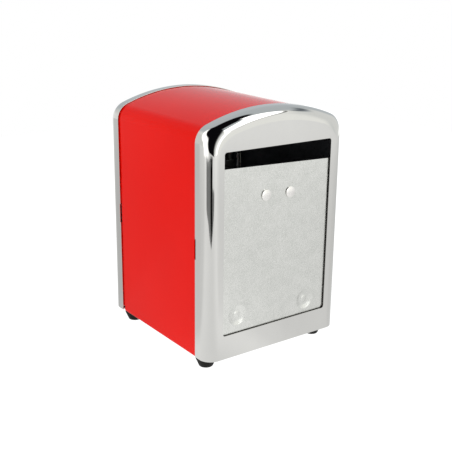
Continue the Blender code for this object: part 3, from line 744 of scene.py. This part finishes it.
def make_spring(end_name, side):
    """A compression spring with closed ends, drawn as a round wire swept along its helix."""
    wire = SPRING_WIRE / 2
    start = SPRING_LOW.y + wire
    stop = SPRING_HIGH.y - wire
    radius = (SPRING_HIGH.x - SPRING_LOW.x) / 2 - wire
    closed = SPRING_WIRE * 1.02
    pitch = (stop - start - 2 * closed) / (SPRING_TURNS - 2)
    steps, sides = 30, 12
    bm = bmesh.new()
    rings = []
    for step in range(SPRING_TURNS * steps + 1):
        turn = step / steps
        y = start + closed * min(turn, 1.0) + pitch * min(max(turn - 1, 0.0), SPRING_TURNS - 2.0)
        y += closed * max(turn - SPRING_TURNS + 1, 0.0)
        angle = 2 * math.pi * turn
        outward = Vector((math.cos(angle), 0, math.sin(angle)))
        centre = Vector((0, side * y, SPRING_Z)) + radius * outward
        ring = []
        for corner in range(sides):
            spin = 2 * math.pi * corner / sides
            ring.append(centre + wire * (outward * math.cos(spin) + Vector((0, math.sin(spin), 0))))
        rings.append(ring)
    rows = skin(bm, rings, closed=True)
    bm.faces.new(rows[0])
    bm.faces.new(rows[-1])
    bmesh.ops.recalc_face_normals(bm, faces=bm.faces)
    piece = new_piece(end_name + "_spring_coil", bm, MATERIALS["spring_steel"])
    piece.data.shade_smooth()
    piece.data.set_sharp_from_angle(angle=math.radians(50))
    dress(piece, end_name + "_spring")
    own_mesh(piece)


# ================================================================ faceplates
def make_faceplate(end_name, turned):
    """A pressed frame: skirt, rounded edge, face and window, with a tab inside each side's rim."""
    rings = [[(x, y, z) for x, z in arch_path(0.0, FRAME_BOTTOM)] for y in (SKIRT_END, FACE_Y + EDGE_RADIUS)]
    for step in range(1, EDGE_STEPS + 1):
        angle = math.pi / 2 * step / EDGE_STEPS
        inset = EDGE_RADIUS * (1 - math.cos(angle))
        y = FACE_Y + EDGE_RADIUS * (1 - math.sin(angle))
        corner = CORNER_RADIUS + (FACE_CORNER_RADIUS - CORNER_RADIUS) * (1 - math.cos(angle))
        rings.append([(x, y, z) for x, z in arch_path(inset, FRAME_BOTTOM, corner)])
    bm = bmesh.new()
    rows = skin(bm, rings)
    half = WINDOW_WIDTH / 2
    window = rectangle((-half, WINDOW_BOTTOM), (half, WINDOW_TOP), WINDOW_CORNER, 8)
    loop = [bm.verts.new(Vector((x, FACE_Y, z)) * MM) for x, z in window]
    fill(bm, [rows[-1], loop])
    facing(bm, (0, SKIRT_END, HEIGHT / 2))
    piece = new_piece(end_name + "_faceplate_pressing", bm, MATERIALS["chrome"], CUT_EDGE_AND_SHADE)
    thicken(piece, FRAME_SHEET)
    # The faces round the window take the cut edge finish: raw steel, with painted shade in its dark colour.
    for face in piece.data.polygons:
        x, _, z = face.center / MM
        if abs(x) < half + 0.05 and WINDOW_BOTTOM - 0.05 < z < WINDOW_TOP + 0.05:
            face.material_index = 1
    nicks = bmesh.new()
    for side in (-1, 1):
        near, far = sorted((side * (WIDTH / 2 - 1.5), side * (WIDTH / 2 + 1)))
        box_in(nicks, (near, SKIRT_END - TAB_SETBACK, TAB_BOTTOM), (far, SKIRT_END + 1, TAB_TOP))
    cut(piece, nicks)
    end = SKIRT_END - TAB_SETBACK
    for side in (-1, 1):
        near, far = sorted((side * (WIDTH / 2 - TAB_REACH), side * (WIDTH / 2 - 0.06)))
        tab = bmesh.new()
        box_in(tab, (near, end - FRAME_SHEET, TAB_BOTTOM), (far, end, TAB_TOP))
        cut(piece, tab, "UNION")
    soften(piece, 0.1)
    dress(piece, end_name + "_faceplate", turned)


# ================================================================ pressure plates
def place_follower(piece, skew, shift):
    """Set a piece askew about the spring's axis, as the pressure plate hangs in its slots."""
    spin = Matrix.Rotation(skew, 4, "Y")
    centre = Vector((0, 0, SPRING_Z)) * MM
    back = Matrix.Translation(centre + Vector((shift, 0, 0)) * MM)
    piece.data.transform(back @ spin @ Matrix.Translation(-centre))


def skewed(x, z, skew, shift):
    """Where a point in XZ goes as its follower is set askew."""
    up = z - SPRING_Z
    return (
        x * math.cos(skew) + up * math.sin(skew) + shift,
        SPRING_Z + up * math.cos(skew) - x * math.sin(skew),
    )


def dimple_rings():
    """A pressed saucer: a small step at its rim, then a gentle slope to a flat floor."""
    rings = []
    for step in range(19):
        share = step / 18
        radius = DIMPLE_RADIUS + (DIMPLE_FLOOR - DIMPLE_RADIUS) * share
        rim = min(share / 0.3, 1.0)
        lip = 0.2 * rim * rim * (3 - 2 * rim)
        rings.append((radius, DIMPLE_DEPTH * (lip + 0.8 * share * share * (3 - 2 * share))))
    return rings + [(HOLE_RADIUS - 0.2, DIMPLE_DEPTH)]


def make_pressure_plate(end_name, turned, skew, shift):
    """The sheet that shows in the window, with two pressed dimples."""
    outline = rectangle((PLATE_LOW.x, PLATE_LOW.z), (PLATE_HIGH.x, PLATE_HIGH.z), PLATE_CORNER, 8)
    holes = [((side * STRAP_RIVET_X, SPRING_Z), HOLE_RADIUS) for side in (-1, 1)]
    bosses = [((side * GUIDE_X, DIMPLE_Z), dimple_rings()) for side in (-1, 1)]
    name = end_name + "_pressure_plate_sheet"
    piece = flat_sheet(name, outline, holes, PLATE_Y, PLATE_SHEET, MATERIALS["galvanised"], bosses)
    place_follower(piece, skew, shift)
    soften(piece, 0.12)
    dress(piece, end_name + "_pressure_plate", turned)


def make_strap(end_name, turned, skew, shift):
    """The strap behind a pressure plate, with the boss that a spring sits on."""
    y = -STRAP_HIGH.y
    outline = rectangle((STRAP_LOW.x, STRAP_LOW.z), (STRAP_HIGH.x, STRAP_HIGH.z), 2.0, 8)
    holes = [((side * STRAP_RIVET_X, SPRING_Z), HOLE_RADIUS) for side in (-1, 1)]
    name = end_name + "_spring_strap_sheet"
    piece = flat_sheet(name, outline, holes, y, STRAP_SHEET, MATERIALS["dark_steel"])
    tip = -STRAP_LOW.y - y
    boss = [(0.0, STRAP_SHEET / 2), (3.3, STRAP_SHEET / 2), (3.3, STRAP_SHEET + 0.2), (3.05, tip - 0.5)]
    boss += arc((2.55, tip - 0.5), 0.5, 0, 90, 4) + [(0.0, tip)]
    hub = bmesh.new()
    lathe_in(hub, boss, 40, (0, y, SPRING_Z), (0, 1, 0))
    cut(piece, hub, "UNION")
    place_follower(piece, skew, shift)
    soften(piece, 0.12)
    dress(piece, end_name + "_spring_strap", turned)


def make_follower_rivets(end_name, names, turned, skew, shift):
    """The domed rivets of the strap, and the low ones in the dimples that hold the shoes."""
    places = {
        "strap": (STRAP_RIVET_X, SPRING_Z, PLATE_Y - 0.05, STRAP_RIVET_LOW, STRAP_RIVET_HIGH, 1.4, 2.4, 0.5),
        "shoe": (GUIDE_X, DIMPLE_Z, PLATE_Y + DIMPLE_DEPTH, SHOE_RIVET_LOW, SHOE_RIVET_HIGH, 1.2, 2.2, 0.05),
    }
    for kind, (across, z, y, low, high, shank, tail, rim) in places.items():
        height = y + high.y if kind == "strap" else min(y + high.y, 0.45)
        tail_height = 0.8
        length = -low.y - y - tail_height
        profile = rivet_profile((high.x - low.x) / 2, height, shank, length, tail, tail_height, rim)
        for side, side_name in zip((-1, 1), names):
            x, up = skewed(side * across, z, skew, shift)
            name = f"{end_name}_{kind}_rivet_domed_{side_name}"
            finish = "zinc_steel" if kind == "strap" else "galvanised"
            piece = turned_piece(name, profile, 48, (x, y, up), finish, (0, -1, 0))
            soften(piece, 0)
            dress(piece, f"{end_name}_{kind}_rivet_{side_name}", turned)


def make_shoes(end_name, names, turned, skew, shift):
    """The L brackets under a pressure plate, and the studs that run in the base plate's slots."""
    outer = -SHOE_HIGH.y
    inner = -SHOE_LOW.y
    bottom, top = SHOE_LOW.z, SHOE_HIGH.z
    path = rounded_path([(outer, top), (outer, bottom), (inner, bottom)], SHOE_BEND, 8)
    stand = bottom + SHOE_SHEET + SHEET_GAP
    stud = rivet_profile(2.7, STUD_HIGH.z - stand, 1.6, stand - STUD_LOW.z - 1.0, 3.4, 1.0)
    for side, side_name in zip((-1, 1), names):
        x = side * GUIDE_X
        points = [(x, y, z) for y, z in path]
        wide = (SHOE_HIGH.x - SHOE_LOW.x, 0, 0)
        name = f"{end_name}_guide_shoe_strip_{side_name}"
        piece = bent_strip(name, points, wide, SHOE_SHEET, (x, 0, 60), MATERIALS["zinc_steel"])
        holes = bmesh.new()
        rivet_x, rivet_z = skewed(x, DIMPLE_Z, skew, shift)
        rod_in(holes, (rivet_x, outer - 1, rivet_z), (rivet_x, outer + 2, rivet_z), 1.6)
        rod_in(holes, (x, -STUD_Y, bottom - 1), (x, -STUD_Y, bottom + 2), 2.0)
        cut(piece, holes)
        soften(piece, 0.12)
        dress(piece, f"{end_name}_guide_shoe_{side_name}", turned)
        name = f"{end_name}_guide_stud_domed_{side_name}"
        piece = turned_piece(name, stud, 40, (x, -STUD_Y, stand), "zinc_steel")
        soften(piece, 0)
        dress(piece, f"{end_name}_guide_stud_{side_name}", turned)


make_shell()
make_base()
make_feet()
make_anchor()
make_spring("front", -1)
make_spring("rear", 1)
ENDS = (
    ("front", False, ("left", "right"), FRONT_SKEW, FRONT_SHIFT),
    ("rear", True, ("right", "left"), 0.0, 0.0),
)
for end_name, turned, names, skew, shift in ENDS:
    make_faceplate(end_name, turned)
    make_pressure_plate(end_name, turned, skew, shift)
    make_strap(end_name, turned, skew, shift)
    make_follower_rivets(end_name, names, turned, skew, shift)
    make_shoes(end_name, names, turned, skew, shift)


# ================================================================ camera, floor and light
def make_camera():
    """The viewpoint: to the front left of the object, a little above it."""
    azimuth, elevation, roll = math.radians(-37.41), math.radians(17.49), math.radians(1.13)
    target = Vector((20.22, 0.0, 61.57))
    distance = 531.58
    level = math.cos(elevation)
    back = Vector((math.sin(azimuth) * level, -math.cos(azimuth) * level, math.sin(elevation)))
    data = bpy.data.cameras.new("camera")
    data.sensor_width = 36.0
    data.lens = 66.5
    data.shift_x = -0.05
    data.shift_y = 0.0052
    data.clip_start = 0.01
    data.clip_end = 50.0
    camera = bpy.data.objects.new("camera", data)
    bpy.context.scene.collection.objects.link(camera)
    aim = (-back).to_track_quat("-Z", "Y").to_matrix().to_4x4()
    stand = Matrix.Translation((target + back * distance) * MM)
    camera.matrix_world = stand @ aim @ Matrix.Rotation(roll, 4, "Z")
    bpy.context.scene.camera = camera


def matt(name, shade, glow):
    """A plain matt finish for the studio, which gives off a light of its own."""
    grey = (shade, shade, shade, 1.0)
    light = {"emission_color": (1.0, 1.0, 1.0, 1.0), "emission_strength": glow}
    return Finish(name, base_color=grey, roughness=1.0, specular_ior_level=0.0, **light)


def make_floor():
    """A pale tabletop that glows too evenly for shadows, and leaves reflections to the table light."""
    bm = bmesh.new()
    bmesh.ops.create_grid(bm, x_segments=1, y_segments=1, size=FLOOR_HALF)
    floor = new_piece("floor", bm, matt("pale_floor", 0.2, 0.97).material)
    floor.visible_glossy = False


def corner_fan(angle, distance):
    """A place on the table, by direction and distance in mm from the object's front left corner.

    0 degrees is straight to the front and -90 to the left.
    """
    corner_x, corner_y = -45, -52
    turn = math.radians(angle)
    return corner_x + distance * math.sin(turn), corner_y - distance * math.cos(turn)


def stage_plane(name, outline, height, finish):
    """A flat shape just above the table, which only shows as a reflection."""
    bm = bmesh.new()
    bm.faces.new([bm.verts.new(Vector((x, y, height)) * MM) for x, y in outline])
    plane = new_piece(name, bm, finish.material)
    plane.visible_camera = False


def make_table_light():
    """The table as it shows in the object's sides: bright in front, dimmer at the left rear and right."""
    light = matt("table_light", 0.0, 1.0)
    # Its level goes by the direction from the object.
    split = light.node("ShaderNodeSeparateXYZ")
    light.feed(split.inputs["Vector"], light.place)
    x, y, _ = split.outputs
    turn = light.math("ARCTAN2", x, light.math("MULTIPLY", y, -1.0))
    ramp = light.node("ShaderNodeValToRGB")
    light.feed(ramp.inputs["Fac"], light.spread(turn, 0.0, 1.0, -math.pi, math.pi))
    light.drive("Emission Color", ramp.outputs["Color"])
    # It is a little stronger farther out.
    reach = light.node("ShaderNodeVectorMath", operation="LENGTH")
    light.feed(reach.inputs[0], light.place)
    strength = light.spread(reach.outputs["Value"], 1.0, 1.18, 0.3, 0.8, "SMOOTHSTEP")
    light.drive("Emission Strength", strength)
    ramp.color_ramp.interpolation = "EASE"
    stops = ramp.color_ramp.elements
    while len(stops) > 1:
        stops.remove(stops[-1])
    # Pairs of a direction, in degrees from the front towards the right, and a level.
    levels = ((-180, 0.78), (-142, 0.62), (-133, 0.77), (-95, 0.83), (-72, 1.0), (-30, 0.92), (-2, 1.04))
    levels += ((12, 0.94), (25, 0.88), (36, 0.88), (48, 0.80), (72, 0.77), (90, 0.66), (104, 0.78))
    levels += ((122, 1.0), (150, 0.90), (180, 0.78))
    stops[0].position = 0.0
    stops[0].color = (levels[0][1],) * 3 + (1.0,)
    for angle, level in levels[1:]:
        stop = stops.new((angle + 180) / 360)
        stop.color = (level, level, level, 1.0)
    near_edge = ((-102, 575), (-90, 570), (-75, 565), (-60, 565), (-50, 592), (-30, 592), (-12, 592))
    outline = [corner_fan(*corner) for corner in near_edge]
    outline += [(-230, -950), (950, -950), (950, 950), (-950, 950), (-950, 140)]
    stage_plane("table_light", outline, 0.4, light)


def make_lamp():
    """A soft lamp high up on the left, which lights the enamel but doesn't show in the chrome."""
    lamp = bpy.data.objects.new("lamp", bpy.data.lights.new("lamp", "AREA"))
    lamp.data.shape = "DISK"
    lamp.data.size = 0.5
    lamp.data.energy = 1.4
    lamp.location = (-0.34, 0.1, 1.0)
    lamp.rotation_euler = (Vector((0, 0, 0.07)) - lamp.location).to_track_quat("-Z", "Y").to_euler()
    lamp.visible_glossy = False
    bpy.context.scene.collection.objects.link(lamp)


def make_cards():
    """Dark cards flat on the table, which draw the streak in the front left rounding."""
    grey = ((-33, 216), (-42, 232), (-58, 290), (-74, 330), (-76, 562), (-44, 562), (-27, 415), (-12, 395))
    grey += ((-13, 330), (-24, 250))
    black = ((-33, 226), (-41, 290), (-43, 562), (-27, 562), (-26, 290))
    for name, fan, height, shade in (("grey_card", grey, 0.8, 0.30), ("black_card", black, 1.2, 0.004)):
        stage_plane(name, [corner_fan(*corner) for corner in fan], height, matt(name, shade, 0.0))


class Studio(Shading):
    """The room round the object, as light by direction.

    Directions are in degrees: across is 0 in front of the object and 90 to its right, and up is 0
    at eye level and 90 overhead.
    """

    def __init__(self, colour):
        self.world = bpy.data.worlds.new("studio")
        self.world.use_nodes = True
        super().__init__(self.world.node_tree)
        split = self.node("ShaderNodeSeparateXYZ")
        self.feed(split.inputs["Vector"], self.node("ShaderNodeTexCoord").outputs["Generated"])
        x, y, z = split.outputs
        turned = self.math("ARCTAN2", x, self.math("MULTIPLY", y, -1.0))
        self.across = self.math("MULTIPLY", turned, math.degrees(1.0))
        self.up = self.math("MULTIPLY", self.math("ARCSINE", z), math.degrees(1.0))
        self.colour = colour

    def rise(self, value, edge, soft):
        """0 below an edge and 1 above it, with a soft step between them."""
        return self.spread(value, 0.0, 1.0, edge - soft, edge + soft, "SMOOTHSTEP")

    def panel(self, across, up, colour, soft=(2.0, 2.0), slope=0.0, lean=0.0):
        """Add a panel. Its lower and upper edges climb by slope, and its sides lean over by lean."""
        level = self.math("SUBTRACT", self.up, self.math("MULTIPLY", self.across, slope))
        turn = self.math("SUBTRACT", self.across, self.math("MULTIPLY", self.up, lean))
        mask = self.math("MULTIPLY", self.rise(turn, across[0], soft[0]), self.rise(level, up[0], soft[1]))
        for value, edge, width in ((turn, across[1], soft[0]), (level, up[1], soft[1])):
            mask = self.math("MULTIPLY", mask, self.math("SUBTRACT", 1.0, self.rise(value, edge, width)))
        self.colour = self.colours(mask, self.colour, colour)

    def finish(self):
        """Whatever the room is like, the camera sees plain white past the floor's edge."""
        seen = self.node("ShaderNodeLightPath").outputs["Is Camera Ray"]
        room = self.colours(seen, self.colour, (1.0, 1.0, 1.0))
        self.feed(self.tree.nodes["Background"].inputs["Color"], room)
        bpy.context.scene.world = self.world


def make_world():
    """Pale walls, bright panels at the left and front right, and a dark ceiling and front left."""
    studio = Studio((0.004, 0.004, 0.005))
    wall = (0.60, 0.64, 0.67)
    # Walls to the right and behind, and a lighter one to the left.
    studio.panel((-5.5, 240), (-90, 65), wall, (6.0, 2.0), lean=0.45)
    studio.panel((-240, -150), (-90, 65), wall, (8.0, 3.0))
    studio.panel((-162, -98), (-90, 40), (0.84, 0.84, 0.82), (8.0, 4.0))
    # Windows on the left.
    studio.panel((-155, -62), (-21, 17), (1.9, 1.9, 1.88), (12.0, 4.0), slope=-0.32)
    studio.panel((-100, -57), (-90, 30), (1.9, 1.9, 1.88), (7.0, 6.0))
    # A bright screen to the front right, brightest along its left edge.
    studio.panel((-5.5, 54), (-90, 48), (1.12, 1.12, 1.09), (9.0, 2.0), lean=0.45)
    studio.panel((4.5, 14.0), (-90, 34), (2.2, 2.2, 2.2), (3.0, 3.0), lean=0.45)
    # Lighter parts of the walls to the right and behind, low down.
    studio.panel((54, 106), (-90, 36), (0.90, 0.91, 0.90), (9.0, 3.0))
    studio.panel((82, 128), (-90, -4), (1.5, 1.5, 1.5), (6.0, 4.0))
    studio.panel((128, 200), (-90, 0), (0.9, 0.9, 0.9), (6.0, 6.0))
    studio.panel((-200, -150), (-90, 11), (1.1, 1.1, 1.1), (6.0, 6.0))
    # A dark rail high on the right, and a lamp box over a dark ledge in front of the screen.
    studio.panel((70, 104), (37.5, 43), (0.18, 0.20, 0.22), (8.0, 2.5))
    studio.panel((19, 70), (14.8, 17.5), (0.12, 0.12, 0.12), (3.0, 0.5), 0.42)
    studio.panel((15, 67), (17, 41), (2.8, 2.8, 2.8), (1.5, 1.5), 0.42)
    studio.finish()


make_camera()
make_floor()
make_table_light()
make_cards()
make_lamp()
make_world()
bpy.context.scene.view_settings.view_transform = "Standard"
